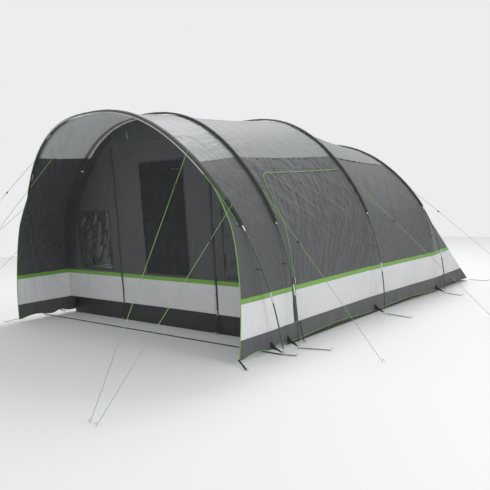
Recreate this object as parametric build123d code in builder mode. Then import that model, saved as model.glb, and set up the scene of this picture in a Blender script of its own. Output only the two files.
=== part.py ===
from build123d import *
from math import sin, cos, pi, hypot, radians
import os

os.makedirs("parts", exist_ok=True)

# ---------------------------------------------------------------- driving dimensions (mm)
# Origin: centre of the groundsheet, on the ground. +X is the tent's right side, +Y its rear, +Z up.
# Each hoop stands in a plane that leans along Y: (half width at the feet, foot Y, apex Y, apex height)
HOOPS = [
    (1665, -2233, -2693, 2023),
    (1650, -2000, -2057, 2050),
    (1630, -409, -508, 2089),
    (1690, 1036, 853, 1855),
]
ARCH_N, ARCH_M, SHOULDER = 2.45, 2.513, 0.0414  # arch shape: superellipse powers and shoulder trim
FABRIC = 1.2  # cloth thickness
POLE_R = 6.0  # fibreglass pole radius
FERRULE_R = 7.2
FERRULE_LEN = 90
SEGMENT = 600  # pole segment between ferrule centres
FIRST_JOINT = 490  # first ferrule centre above the foot
PIN_LEN = 60
SLEEVE_END_Z = 1040
CLIP_Z = 700
SKIRT_Z0, SKIRT_Z1 = 30, 185  # hem and top of the skirt
BAND_Z1 = 460  # top of the light band
BELT_Z1 = 500  # top of the belt
ROOF_Z = [1530, 1580, 1620, 1550]  # seam between wall and roof at each hoop
WING_TOP_Z = 1360  # where the wing's free edge meets the porch hoop
WING_Y0, WING_K = -2642, 0.060  # free edge plane: y = WING_Y0 + WING_K * z
REAR_Y, REAR_X, REAR_TOP = 2190, 1560, 1078  # rear corner on the ground, and the height where it leaves the rear hoop
DOOR_X0, DOOR_X1, DOOR_TOP = -580, 710, 1800  # front doorway
DOOR_GAP = 3
FRONT_Y = -1950  # front wall at the ground; it leans with the second hoop
MESH_X0, MESH_X1, MESH_Z0, MESH_Z1 = -195, 405, 520, 1620
SIDE_TOP = 1500  # side doorway
TUB_H = 120
ROOF_N = 14  # flats that make up each roof bay's curve
CORD_R = 2.5
TENSIONER_HOLE = 3.2


def lerp(a, b, u):
    return a + (b - a) * u


def lean(h):
    w, fy, ay, top = HOOPS[h]
    return (ay - fy) / top


def arch(h, t):
    """Centreline of hoop h: t runs from 0 at the right foot to pi at the left foot."""
    w, fy, ay, top = HOOPS[h]
    c, s = cos(t), max(sin(t), 0.0)
    g = 1 - SHOULDER * sin(2 * t) ** 2
    x = w * (1 if c >= 0 else -1) * abs(c) ** (2 / ARCH_N) * g
    z = top * s ** (2 / ARCH_M) * g
    return (x, fy + lean(h) * z, z)


def t_at_z(h, z):
    lo, hi = 0.0, pi / 2
    for _ in range(60):
        mid = (lo + hi) / 2
        if arch(h, mid)[2] < z:
            lo = mid
        else:
            hi = mid
    return (lo + hi) / 2


def hoop_x(h, z):
    return arch(h, t_at_z(h, z))[0]


STAND_OFF = [(0, 122), (30, 120), (190, 108), (460, 85), (700, 62), (1040, 12), (1300, 14), (1500, 18), (3000, 18)]


def cloth_x(h, z):
    """Outer face of the side cloth at hoop h and height z, on the right side."""
    for (z0, d0), (z1, d1) in zip(STAND_OFF, STAND_OFF[1:]):
        if z <= z1:
            return hoop_x(h, z) - lerp(d0, d1, (z - z0) / (z1 - z0))


def under(h, t, depth):
    """(x, z) of the point at a depth inside hoop h, measured square to it."""
    x, _, z = arch(h, t)
    x1, _, z1 = arch(h, t + 0.001)
    x0, _, z0 = arch(h, t - 0.001)
    dx, dz = x1 - x0, z1 - z0
    n = hypot(dx, dz)
    return x - depth * dz / n, z + depth * dx / n


# arc-length table of each hoop
TABLE = []
for h in range(4):
    pts = [arch(h, pi * i / 3000) for i in range(3001)]
    run = [0.0]
    for a, b in zip(pts, pts[1:]):
        run.append(run[-1] + hypot(b[0] - a[0], b[1] - a[1], b[2] - a[2]))
    TABLE.append(run)


def t_at_s(h, s):
    run = TABLE[h]
    lo, hi = 0, 3000
    while hi - lo > 1:
        mid = (lo + hi) // 2
        if run[mid] < s:
            lo = mid
        else:
            hi = mid
    u = (s - run[lo]) / (run[hi] - run[lo])
    return pi * (lo + u) / 3000


def hoop_plane(h, dy=0.0):
    k = lean(h)
    return Plane(origin=(0, HOOPS[h][1] + dy, 0), x_dir=(1, 0, 0), z_dir=(0, -1, k))


def leaning_plane(y0, k):
    return Plane(origin=(0, y0, 0), x_dir=(1, 0, 0), z_dir=(0, -1, k))


def polygon(plane, pts, k=0.0):
    """Closed polygon on a leaning plane from (x, z) points; k is the plane's lean dy/dz."""
    n = hypot(1.0, k)
    with BuildSketch(plane) as s:
        with BuildLine():
            Polyline(*[(x, z * n) for x, z in pts], close=True)
        make_face()
    return s.sketch


def rod(points, radius):
    with BuildPart() as p:
        with BuildLine() as path:
            if len(points) > 2:
                Spline(*points)
            else:
                Line(*points)
        with BuildSketch(Plane(origin=path.line @ 0, z_dir=path.line % 0)):
            Circle(radius)
        sweep()
    return p.part


def strap(p0, p1, width, thick, across=(0, 1, 0)):
    a, b = Vector(*p0), Vector(*p1)
    with BuildPart() as p:
        with BuildSketch(Plane(origin=a, x_dir=across, z_dir=(b - a))):
            Rectangle(width, thick)
        extrude(amount=(b - a).length)
    return p.part


# ---------------------------------------------------------------- frame
def pole_joints(h):
    total = TABLE[h][-1]
    js = []
    s = FIRST_JOINT
    while s < total / 2 - 200:
        js.append(s)
        s += SEGMENT
    return js + [total - j for j in reversed(js)]


pole_solids, ferrule_solids = [], []
for h in range(4):
    joints = pole_joints(h)
    edges = [PIN_LEN] + [v for j in joints for v in (j - FERRULE_LEN / 2, j + FERRULE_LEN / 2)] + [TABLE[h][-1] - PIN_LEN]
    one = []
    for i in range(0, len(edges), 2):
        a, b = edges[i], edges[i + 1]
        n = max(1, round((b - a) / 700))
        for j in range(n):
            s0, s1 = a + (b - a) * j / n, a + (b - a) * (j + 1) / n
            one.append(rod([arch(h, t_at_s(h, lerp(s0, s1, i / 6))) for i in range(7)], POLE_R))
    pole_solids.append(one)
    for j in joints:
        ferrule_solids.append(rod([arch(h, t_at_s(h, s)) for s in (j - FERRULE_LEN / 2 + 0.5, j, j + FERRULE_LEN / 2 - 0.5)], FERRULE_R))

with BuildPart() as hoop_pole_1:
    add(pole_solids[0])
hoop_pole_1.part.label = "hoop_pole_1"
with BuildPart() as hoop_pole_2:
    add(pole_solids[1])
hoop_pole_2.part.label = "hoop_pole_2"
with BuildPart() as hoop_pole_3:
    add(pole_solids[2])
hoop_pole_3.part.label = "hoop_pole_3"
with BuildPart() as hoop_pole_4:
    add(pole_solids[3])
hoop_pole_4.part.label = "hoop_pole_4"
with BuildPart() as pole_ferrules:
    add(ferrule_solids)
pole_ferrules.part.label = "pole_ferrules"

# steel pin at each hoop foot, inside a ring that lies on the ground
foot_points = [(s * HOOPS[h][0], HOOPS[h][1]) for h in range(4) for s in (1, -1)]
with BuildPart() as foot_pins:
    for h in range(4):
        for s in (1, -1):
            w = HOOPS[h][0]
            top = arch(h, t_at_s(h, PIN_LEN - 0.5))
            add(rod([(s * w, HOOPS[h][1], 0.5), (s * top[0], top[1], top[2])], 4.5))
    with Locations(*[(x, y, 2.5) for x, y in foot_points]):
        Torus(14, 2.5)
foot_pins.part.label = "foot_pins"


# sleeves: a cloth channel over each pole, from sleeve end to sleeve end
def sleeve(h, half=22, stations=56):
    t0 = t_at_z(h, SLEEVE_END_Z)
    s0 = next(TABLE[h][i] for i in range(3001) if pi * i / 3000 >= t0)
    s1 = TABLE[h][-1] - s0
    k = lean(h)
    n = Vector(0, -1, k).normalized()
    profile = [
        (-half, -6), (-half + 3, 1), (-11.5, 9.6), (-5, 11.8), (5, 11.8), (11.5, 9.6), (half - 3, 1), (half, -6),
        (half - 1.5, -6), (half - 4.5, 0.5), (10.4, 8.4), (4.6, 10.4), (-4.6, 10.4), (-10.4, 8.4), (-half + 4.5, 0.5), (-half + 1.5, -6),
    ]
    secs = []
    for i in range(stations + 1):
        s = lerp(s0, s1, i / stations)
        p = Vector(*arch(h, t_at_s(h, s)))
        q0, q1 = Vector(*arch(h, t_at_s(h, s - 15))), Vector(*arch(h, t_at_s(h, s + 15)))
        t = (q1 - q0).normalized()
        pl = Plane(origin=p, x_dir=n, z_dir=t)
        out = p - Vector(0, p.Y, 0)
        if pl.y_dir.dot(Vector(out.X, 0, out.Z)) < 0:
            pl = Plane(origin=p, x_dir=-n, z_dir=t)
        with BuildSketch(pl) as sk:
            with BuildLine():
                Polyline(*profile, close=True)
            make_face()
        secs.append(sk.sketch)
    return secs


with BuildPart() as sleeve_porch:
    loft(sleeve(0, 26), ruled=True)
sleeve_porch.part.label = "sleeve_porch"
with BuildPart() as sleeves_black:
    loft(sleeve(1), ruled=True)
    loft(sleeve(2), ruled=True)
    loft(sleeve(3), ruled=True)
sleeves_black.part.label = "sleeves_black"

# clips: a hook round the leg and a short strap to the wall
with BuildPart() as pole_clips:
    for h in range(4):
        px, py, pz = arch(h, t_at_z(h, CLIP_Z))
        cx = cloth_x(h, CLIP_Z)
        for s in (1, -1):
            add(strap((s * (cx + 0.4), py, pz), (s * (px - POLE_R - 0.7), py, pz), 16, 3, across=(0, 1, 0)))
pole_clips.part.label = "pole_clips"

# ---------------------------------------------------------------- side cloth
WALL_Z = [BELT_Z1, 700, 1040, 1300, None]


def wall_pts(h, zs, side, zmap=None):
    """Closed (x, z) polygon of cloth thickness along the profile of hoop h."""
    out, inn = [], []
    for z in zs:
        zz = zmap(z) if zmap else z
        x = cloth_x(h, zz)
        out.append((side * x, zz))
        inn.append((side * (x - FABRIC), zz))
    return out + inn[::-1]


BAY_N = 16  # sections per bay, so that the twist of each facet is a small part of the cloth's thickness


def wall_section(h, zs, side, dy=0.0):
    """A section as (y at the ground, lean, outline)."""
    return (HOOPS[h][1] + dy, lean(h), wall_pts(h, zs, side))


def wing_section(zs, side, top=None):
    f = (lambda z: BELT_Z1 + (z - BELT_Z1) * (WING_TOP_Z - BELT_Z1) / (top - BELT_Z1)) if top else None
    return (WING_Y0, WING_K, wall_pts(0, zs, side, f))


def cloth_run(*stations):
    """Faces of a straight-ruled run of cloth through the given sections."""
    out = []
    for (ya, ka, pa), (yb, kb, pb) in zip(stations, stations[1:]):
        n = max(2, round(BAY_N * abs(yb - ya) / 1800))
        for i in range(n):
            u = i / n
            pts = [(lerp(p[0], q[0], u), lerp(p[1], q[1], u)) for p, q in zip(pa, pb)]
            out.append((lerp(ya, yb, u), lerp(ka, kb, u), pts))
    out.append(stations[-1])
    return [polygon(leaning_plane(y, k), pts, k) for y, k, pts in out]


REAR_K = -(REAR_Y - (HOOPS[3][1] + lean(3) * REAR_TOP)) / REAR_TOP
REAR_XTOP = hoop_x(3, REAR_TOP) - 12


def rear_edge_x(z):
    return lerp(REAR_X, REAR_XTOP, z / REAR_TOP)


def rear_edge_section(zs, side):
    pts = [(side * rear_edge_x(z), z) for z in zs] + [(side * (rear_edge_x(z) - FABRIC), z) for z in reversed(zs)]
    return (REAR_Y, REAR_K, pts)


def zs(h):
    return WALL_Z[:-1] + [ROOF_Z[h]]


def side_strip(z0, z1, side):
    """Sections of a strip that runs along one side from the wing to the rear corner."""
    return cloth_run(
        wing_section([z0, z1], side), *(wall_section(h, [z0, z1], side) for h in range(4)), rear_edge_section([z0, z1], side)
    )


# side doorway in the middle bay, as a prism across the right wall
SIDE_Y0B, SIDE_Y0T = -1850, -1925  # front edge of the doorway at z 185 and at SIDE_TOP
SIDE_Y1B, SIDE_Y1T = -495, -560  # rear edge of the doorway


def side_prism(grow):
    kz = (SIDE_Y0T - SIDE_Y0B) / (SIDE_TOP - SKIRT_Z1)
    kr = (SIDE_Y1T - SIDE_Y1B) / (SIDE_TOP - SKIRT_Z1)
    zb, zt = SKIRT_Z1 - grow, SIDE_TOP + grow
    a = (SIDE_Y0B + kz * (zb - SKIRT_Z1) - grow, zb)
    b = (SIDE_Y0B + kz * (zt - SKIRT_Z1) - grow, zt)
    c = (SIDE_Y1B + kr * (zt - SKIRT_Z1) + grow, zt)
    d = (SIDE_Y1B + kr * (zb - SKIRT_Z1) + grow, zb)
    with BuildPart() as p:
        with BuildSketch(Plane.YZ.offset(600)):
            with BuildLine():
                Polyline(a, b, c, d, close=True)
            make_face()
        extrude(amount=1400)
    return p.part


DOORWAY = side_prism(0)
DOOR_BLANK = side_prism(-DOOR_GAP)

with BuildPart() as wall_left:
    loft(cloth_run(wing_section(zs(0), -1, ROOF_Z[0]), wall_section(0, zs(0), -1), wall_section(1, zs(1), -1, -0.2)), ruled=True)
    loft(cloth_run(wall_section(1, zs(1), -1, 0.2), wall_section(2, zs(2), -1, -0.2)), ruled=True)
    loft(cloth_run(wall_section(2, zs(2), -1, 0.2), wall_section(3, zs(3), -1, -0.2)), ruled=True)
    loft(cloth_run(wall_section(3, [BELT_Z1, 700], -1, 0.3), rear_edge_section([BELT_Z1, 700], -1)), ruled=True)
    loft(cloth_run(wall_section(3, [700, 1050], -1, 0.3), rear_edge_section([700, 1050], -1)), ruled=True)
wall_left.part.label = "wall_left"

with BuildPart() as wall_right:
    loft(cloth_run(wall_section(1, zs(1), 1, 0.2), wall_section(2, zs(2), 1, -0.2)), ruled=True)
    add(DOORWAY, mode=Mode.SUBTRACT)
    loft(cloth_run(wing_section(zs(0), 1, ROOF_Z[0]), wall_section(0, zs(0), 1), wall_section(1, zs(1), 1, -0.2)), ruled=True)
    loft(cloth_run(wall_section(2, zs(2), 1, 0.2), wall_section(3, zs(3), 1, -0.2)), ruled=True)
    loft(cloth_run(wall_section(3, [BELT_Z1, 700], 1, 0.3), rear_edge_section([BELT_Z1, 700], 1)), ruled=True)
    loft(cloth_run(wall_section(3, [700, 1050], 1, 0.3), rear_edge_section([700, 1050], 1)), ruled=True)
wall_right.part.label = "wall_right"

with BuildPart() as side_door:
    loft(cloth_run(wall_section(1, zs(1), 1, 0.2), wall_section(2, zs(2), 1, -0.2)), ruled=True)
    add(DOOR_BLANK, mode=Mode.INTERSECT)
side_door.part.label = "side_door"


# ---------------------------------------------------------------- rear end
def rear_line(j, depth, n=8):
    """Line j of the rear panel, from the rear hoop down to the ground: (top point, ground point)."""
    t0 = t_at_z(3, REAR_TOP)
    if j in (0, n):
        side = 1 if j == 0 else -1
        x, z = side * (REAR_XTOP - 1.6 - depth), REAR_TOP - 0.3 * depth
        g = side * (REAR_X - 1.6 - depth)
    else:
        x, z = under(3, lerp(t0, pi - t0, j / n), 13 + depth)
        g = lerp(REAR_X - 1.6, -(REAR_X - 1.6), j / n)
    return (x, HOOPS[3][1] + lean(3) * z + 0.5, z), (g, REAR_Y - 1.5 * depth, 0)


def rear_pt(j, z, depth):
    a, b = rear_line(j, depth)
    if z is None:
        return (a[0], a[2])
    u = (a[2] - z) / a[2]
    return (lerp(a[0], b[0], u), lerp(a[1], b[1], u))


def rear_quad(j, z):
    pts = [rear_pt(j, z, 0), rear_pt(j + 1, z, 0), rear_pt(j + 1, z, FABRIC), rear_pt(j, z, FABRIC)]
    if z is None:
        return polygon(hoop_plane(3, 0.5), pts, lean(3))
    with BuildSketch(Plane.XY.offset(z)) as s:
        with BuildLine():
            Polyline(*pts, close=True)
        make_face()
    return s.sketch


def rear_band(z0, z1):
    return [[rear_quad(j, z0), rear_quad(j, z1)] for j in range(8)]


with BuildPart() as rear_panel:
    for pair in rear_band(BELT_Z1, None):
        loft(pair, ruled=True)
rear_panel.part.label = "rear_panel"


# ---------------------------------------------------------------- front wall
FRONT_K = lean(1)
front_plane = leaning_plane(FRONT_Y, FRONT_K)
FN = hypot(1.0, FRONT_K)


def front_x(z):
    return cloth_x(1, z) - FABRIC - 3


def front_rect(x0, x1, z0, z1):
    with BuildSketch(front_plane) as s:
        with BuildLine():
            Polyline((x0, z0 * FN), (x1, z0 * FN), (x1, z1 * FN), (x0, z1 * FN), close=True)
        make_face()
    return s.sketch


def front_outline(z0):
    right = [(front_x(z), z) for z in (z0, 700, 1040, 1300, 1560)]
    t0 = t_at_z(1, ROOF_Z[1])
    top = []
    for i in range(1, ROOF_N):
        top.append(under(1, lerp(t0, pi - t0, i / ROOF_N), 13 + FABRIC + 2))
    left = [(-x, z) for x, z in reversed(right)]
    return right + top + left


LEFT_WIN = (-1280, -730, 530, 1150)
RIGHT_WIN = (850, 1300, 530, 1150)

with BuildPart() as front_wall:
    with BuildSketch(front_plane):
        with BuildLine():
            Polyline(*[(x, z * FN) for x, z in front_outline(BELT_Z1)], close=True)
        make_face()
    extrude(amount=-FABRIC)
    for x0, x1, z0, z1 in (LEFT_WIN, RIGHT_WIN, (DOOR_X0, DOOR_X1, BELT_Z1 - 50, DOOR_TOP)):
        extrude(front_rect(x0, x1, z0, z1), amount=3, both=True, mode=Mode.SUBTRACT)
front_wall.part.label = "front_wall"

with BuildPart() as clear_windows:
    for x0, x1, z0, z1 in (LEFT_WIN, RIGHT_WIN):
        extrude(front_rect(x0 + 0.3, x1 - 0.3, z0 + 0.3, z1 - 0.3), amount=-FABRIC)
clear_windows.part.label = "clear_windows"

D0, D1 = DOOR_X0 + DOOR_GAP, DOOR_X1 - DOOR_GAP
with BuildPart() as front_door:
    extrude(front_rect(D0, D1, BELT_Z1, DOOR_TOP - DOOR_GAP), amount=-FABRIC)
    extrude(front_rect(MESH_X0, MESH_X1, MESH_Z0, MESH_Z1), amount=3, both=True, mode=Mode.SUBTRACT)
front_door.part.label = "front_door"
with BuildPart() as front_door_mesh:
    extrude(front_rect(MESH_X0 + 0.3, MESH_X1 - 0.3, MESH_Z0 + 0.3, MESH_Z1 - 0.3), amount=-FABRIC)
front_door_mesh.part.label = "front_door_mesh"
with BuildPart() as front_door_belt:
    extrude(front_rect(D0, D1, BAND_Z1, BELT_Z1), amount=-FABRIC)
front_door_belt.part.label = "front_door_belt"
with BuildPart() as front_door_band:
    extrude(front_rect(D0, D1, SKIRT_Z1 + DOOR_GAP, BAND_Z1), amount=-FABRIC)
front_door_band.part.label = "front_door_band"


def front_strips(z0, z1):
    def one(pts):
        with BuildSketch(front_plane) as s:
            with BuildLine():
                Polyline(*[(x, z * FN) for x, z in pts], close=True)
            make_face()
        return s.sketch

    return [
        one([(DOOR_X1, z0), (front_x(z0), z0), (front_x(z1), z1), (DOOR_X1, z1)]),
        one([(DOOR_X0, z0), (-front_x(z0), z0), (-front_x(z1), z1), (DOOR_X0, z1)]),
    ]


# ---------------------------------------------------------------- belt, light band and skirt
with BuildPart() as belt:
    loft(side_strip(BAND_Z1, BELT_Z1, 1), ruled=True)
    add(DOORWAY, mode=Mode.SUBTRACT)
    loft(side_strip(BAND_Z1, BELT_Z1, -1), ruled=True)
    for pair in rear_band(BAND_Z1, BELT_Z1):
        loft(pair, ruled=True)
    for s in front_strips(BAND_Z1, BELT_Z1):
        extrude(s, amount=-FABRIC)
belt.part.label = "belt"

with BuildPart() as light_band:
    loft(side_strip(SKIRT_Z1, BAND_Z1, 1), ruled=True)
    add(DOORWAY, mode=Mode.SUBTRACT)
    loft(side_strip(SKIRT_Z1, BAND_Z1, -1), ruled=True)
    for pair in rear_band(SKIRT_Z1, BAND_Z1):
        loft(pair, ruled=True)
    for s in front_strips(SKIRT_Z1, BAND_Z1):
        extrude(s, amount=-FABRIC)
light_band.part.label = "light_band"

with BuildPart() as skirt:
    loft(side_strip(SKIRT_Z0, SKIRT_Z1, 1), ruled=True)
    loft(side_strip(SKIRT_Z0, SKIRT_Z1, -1), ruled=True)
    for pair in rear_band(SKIRT_Z0, SKIRT_Z1):
        loft(pair, ruled=True)
skirt.part.label = "skirt"

with BuildPart() as side_door_belt:
    loft(cloth_run(wall_section(1, [BAND_Z1, BELT_Z1], 1, 0.2), wall_section(2, [BAND_Z1, BELT_Z1], 1, -0.2)), ruled=True)
    add(DOOR_BLANK, mode=Mode.INTERSECT)
side_door_belt.part.label = "side_door_belt"
with BuildPart() as side_door_band:
    loft(cloth_run(wall_section(1, [SKIRT_Z1, BAND_Z1], 1, 0.2), wall_section(2, [SKIRT_Z1, BAND_Z1], 1, -0.2)), ruled=True)
    add(DOOR_BLANK, mode=Mode.INTERSECT)
side_door_band.part.label = "side_door_band"


# ---------------------------------------------------------------- roof
def roof_section(h, dy=0.0):
    t0 = t_at_z(h, ROOF_Z[h])
    x0 = cloth_x(h, ROOF_Z[h])
    out, inn = [(x0, ROOF_Z[h] + 0.2)], [(x0 - FABRIC, ROOF_Z[h] + 0.2)]
    for i in range(1, ROOF_N):
        t = lerp(t0, pi - t0, i / ROOF_N)
        out.append(under(h, t, 13))
        inn.append(under(h, t, 13 + FABRIC))
    out.append((-x0, ROOF_Z[h] + 0.2))
    inn.append((-x0 + FABRIC, ROOF_Z[h] + 0.2))
    return polygon(hoop_plane(h, dy), out + inn[::-1], lean(h))


with BuildPart() as roof_porch:
    loft([roof_section(0), roof_section(1, -0.2)], ruled=True)
roof_porch.part.label = "roof_porch"
with BuildPart() as roof_middle:
    loft([roof_section(1, 0.2), roof_section(2, -0.2)], ruled=True)
roof_middle.part.label = "roof_middle"
with BuildPart() as roof_rear:
    loft([roof_section(2, 0.2), roof_section(3, -0.2)], ruled=True)
roof_rear.part.label = "roof_rear"

# ---------------------------------------------------------------- groundsheet and sleeping cabin
TUB_X, TUB_Y0, TUB_Y1 = 1495, -1948, 1948
with BuildPart() as groundsheet:
    with BuildSketch(Plane.XY):
        with Locations((0, (TUB_Y0 + TUB_Y1) / 2)):
            Rectangle(2 * TUB_X, TUB_Y1 - TUB_Y0)
    extrude(amount=TUB_H)
    with BuildSketch(Plane.XY.offset(2)):
        with Locations((0, (TUB_Y0 + TUB_Y1) / 2)):
            Rectangle(2 * TUB_X - 3, TUB_Y1 - TUB_Y0 - 3)
    extrude(amount=TUB_H, mode=Mode.SUBTRACT)
    with BuildSketch(Plane.XY.offset(TUB_H)):
        with Locations((0, TUB_Y0 + 0.75)):
            Rectangle(2 * TUB_X, 1.5)
    extrude(amount=SKIRT_Z1 - TUB_H - 6)
groundsheet.part.label = "groundsheet"

CABIN = [  # (y, [(x, z), ...] right half from the floor to the top)
    (-230, [(1340, 4), (1290, 900), (1010, 1430), (420, 1760)]),
    (900, [(1350, 4), (1240, 900), (940, 1300), (400, 1600)]),
    (1720, [(1330, 4), (1320, 120), (900, 220), (400, 260)]),
]


def cabin_section(i, inset, y=None):
    cy, half = CABIN[i]
    cx, cz = 0, 4
    pts = [(max(x - inset, 1), z + (inset if j == 0 else -inset)) for j, (x, z) in enumerate(half)]
    pts = pts + [(-x, z) for x, z in reversed(pts)]
    with BuildSketch(Plane.XZ.offset(-(cy if y is None else y))) as s:
        with BuildLine():
            Polyline(*pts, close=True)
        make_face()
    return s.sketch


with BuildPart() as cabin_hollow:
    loft([cabin_section(0, 2, -228), cabin_section(1, 2), cabin_section(2, 2, 1718)], ruled=True)
with BuildPart() as sleeping_cabin:
    loft([cabin_section(0, 0), cabin_section(1, 0), cabin_section(2, 0)], ruled=True)
    add(cabin_hollow.part, mode=Mode.SUBTRACT)
    with BuildSketch(Plane.XZ.offset(200)):
        with Locations((0, 830)):
            Rectangle(1000, 1200)
    extrude(amount=80, both=True, mode=Mode.SUBTRACT)
sleeping_cabin.part.label = "sleeping_cabin"

# ---------------------------------------------------------------- ground fittings
with BuildPart() as foot_gussets:
    for h in range(4):
        w, fy, ay, top = HOOPS[h]
        k = lean(h)
        for s in (1, -1):
            pts = [(s * (cloth_x(h, 100) + 1), 100), (s * (cloth_x(h, 36) + 1), 36), (s * (w - 18), 12), (s * (w - 14), 26)]
            extrude(polygon(hoop_plane(h), pts, k), amount=1, both=True)
foot_gussets.part.label = "foot_gussets"

with BuildPart() as hoop_strap:
    w, fy = HOOPS[0][0], HOOPS[0][1]
    with BuildSketch(Plane.XY):
        with Locations((0, fy)):
            Rectangle(2 * (w - 18), 30)
    extrude(amount=2)
hoop_strap.part.label = "hoop_strap"

TAILS = []  # flat webbing from each foot ring out to its peg: (start, end)
for h, dx, dy in ((0, 95, 20), (1, 250, 70), (2, 300, -60), (3, 225, -90)):
    w, fy = HOOPS[h][0], HOOPS[h][1]
    for s in (1, -1):
        TAILS.append(((s * (w + 19), fy, 1.5), (s * (w + dx), fy + dy, 1.5)))
for s in (1, -1):
    TAILS.append(((s * (REAR_X + 14), REAR_Y + 6, 1.5), (s * (REAR_X + 270), REAR_Y - 20, 1.5)))
WING_PEGS = [(s * 1690, -2735) for s in (1, -1)]
FRONT_PEGS = [(-595, FRONT_Y - 45), (725, FRONT_Y - 45)]
SIDE_PEG = (1600, SIDE_Y0B - 5)
with BuildPart() as peg_straps:
    for a, b in TAILS:
        add(strap(a, b, 14, 2, across=(0, 1, 0)))
    for s in (1, -1):
        add(strap((s * 1537, WING_Y0 - 3, 27), (s * 1680, -2727, 4), 14, 2, across=(1, 0, 0)))
    for x, y in FRONT_PEGS:
        add(strap((x, FRONT_Y - 7, SKIRT_Z1 - 10), (x, y + 8, 6), 16, 2, across=(1, 0, 0)))
    add(strap((cloth_x(1, 170) + 6, SIDE_Y0B + 20, 170), (SIDE_PEG[0] - 10, SIDE_PEG[1] + 20, 8), 16, 2, across=(0, 1, 0)))
peg_straps.part.label = "peg_straps"

with BuildPart() as one_peg:
    with BuildLine() as hook:
        FilletPolyline((0, 0, 0), (0, 0, 26), (16, 0, 26), (16, 0, 14), radius=6)
    with BuildSketch(Plane(origin=hook.line @ 0, z_dir=hook.line % 0)):
        Circle(2.5)
    sweep()

peg_points = (
    [(b[0] + (12 if b[0] > 0 else -28), b[1]) for a, b in TAILS]
    + [(x + (0 if x > 0 else -16), y) for x, y in WING_PEGS]
    + [(x - 8, y - 2) for x, y in FRONT_PEGS]
    + [(SIDE_PEG[0], SIDE_PEG[1] + 20)]
)
with BuildPart() as pegs:
    with Locations(*[(x, y, 0) for x, y in peg_points]):
        add(one_peg.part)
pegs.part.label = "pegs"

# ---------------------------------------------------------------- piping, zip flaps and sliders
with BuildPart() as piping:
    for s in (1, -1):
        pts = []
        for z in (36, 500, 930, 1285):
            pts.append((s * (cloth_x(0, z) - 0.6), WING_Y0 + WING_K * z - 4.2, z))
        for a, b in zip(pts, pts[1:]):
            d = (Vector(*b) - Vector(*a)).normalized()
            add(rod([a, tuple(Vector(*b) - d * 0.4)], 3.5))
piping.part.label = "piping"

with BuildPart() as zip_flaps:
    for x0, x1 in ((DOOR_X0 - 36, DOOR_X0 - 3), (DOOR_X1 + 3, DOOR_X1 + 36)):
        with BuildSketch(front_plane.offset(0.3)):
            with BuildLine():
                Polyline((x0, 190 * FN), (x1, 190 * FN), (x1, 1790 * FN), (x0, 1790 * FN), close=True)
            make_face()
        extrude(amount=1.5)
zip_flaps.part.label = "zip_flaps"

SLIDER_Z = 215
with BuildPart() as front_zip_slider:
    with BuildSketch(front_plane.offset(2.4)):
        with Locations((DOOR_X1 + 16, SLIDER_Z * FN)):
            RectangleRounded(11, 16, 3)
    extrude(amount=5)
    with BuildSketch(front_plane.offset(7.4)):
        with Locations((DOOR_X1 + 16, (SLIDER_Z - 22) * FN)):
            RectangleRounded(7, 40, 3)
    extrude(amount=2)
front_zip_slider.part.label = "front_zip_slider"

side_slider_y = SIDE_Y0B - 45
with BuildPart() as side_zip_slider:
    sx = cloth_x(1, 560) + 12
    with BuildSketch(Plane.YZ.offset(sx)):
        with Locations((side_slider_y, 560)):
            RectangleRounded(11, 16, 3)
    extrude(amount=5)
    with BuildSketch(Plane.YZ.offset(sx + 5)):
        with Locations((side_slider_y, 538)):
            RectangleRounded(7, 40, 3)
    extrude(amount=2)
side_zip_slider.part.label = "side_zip_slider"


# ---------------------------------------------------------------- guylines
def on_hoop(h, z, side, out=19.0):
    """A point just outside the sleeve of hoop h at height z."""
    t = t_at_z(h, z)
    p = Vector(*arch(h, t))
    q = Vector(*arch(h, t + 0.002)) - p
    n = Vector(0, -1, lean(h))
    r = q.cross(n).normalized()
    if r.X < 0:
        r = -r
    p = p + r * out
    return (side * p.X, p.Y, p.Z)


APEX = (0, HOOPS[0][2] - 34, HOOPS[0][3] - 9)
GUYS = {  # name: (start, ground end, fraction along the line where the tensioner sits)
    "guyline_porch_right_upper": (on_hoop(0, 1621, 1), (1560, -4020, 9), 0.16),
    "guyline_porch_right_lower": (on_hoop(0, 1191, 1), (1640, -4035, 9), 0.20),
    "guyline_porch_left_upper": (on_hoop(0, 1681, -1), (-2060, -3830, 9), 0.18),
    "guyline_porch_left_lower": (on_hoop(0, 1239, -1), (-2140, -3800, 9), 0.22),
    "guyline_porch_apex": (APEX, (-2000, -3480, 9), 0.30),
    "guyline_middle_left": (on_hoop(1, 1292, -1), (-2660, -2790, 9), 0.30),
    "guyline_front_right": (on_hoop(1, 1292, 1), (2400, -2020, 9), 0.0),
    "guyline_middle_right": (on_hoop(2, 1384, 1), (2600, -120, 9), 0.0),
    "guyline_rear_right": (on_hoop(3, 1212, 1), (2400, 1920, 9), 0.20),
}
JOIN = {"guyline_front_right": 0.30, "guyline_middle_right": 0.30, "guyline_middle_left": 0.30}
BRANCH = {
    "guyline_front_right_branch": ("guyline_front_right", on_hoop(1, 1166, 1)),
    "guyline_middle_right_branch": ("guyline_middle_right", on_hoop(2, 1250, 1)),
    "guyline_middle_left_branch": ("guyline_middle_left", on_hoop(1, 1166, -1)),
}


def along(name, u):
    a, b, _ = GUYS[name]
    return tuple(lerp(a[i], b[i], u) for i in range(3))


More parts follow.
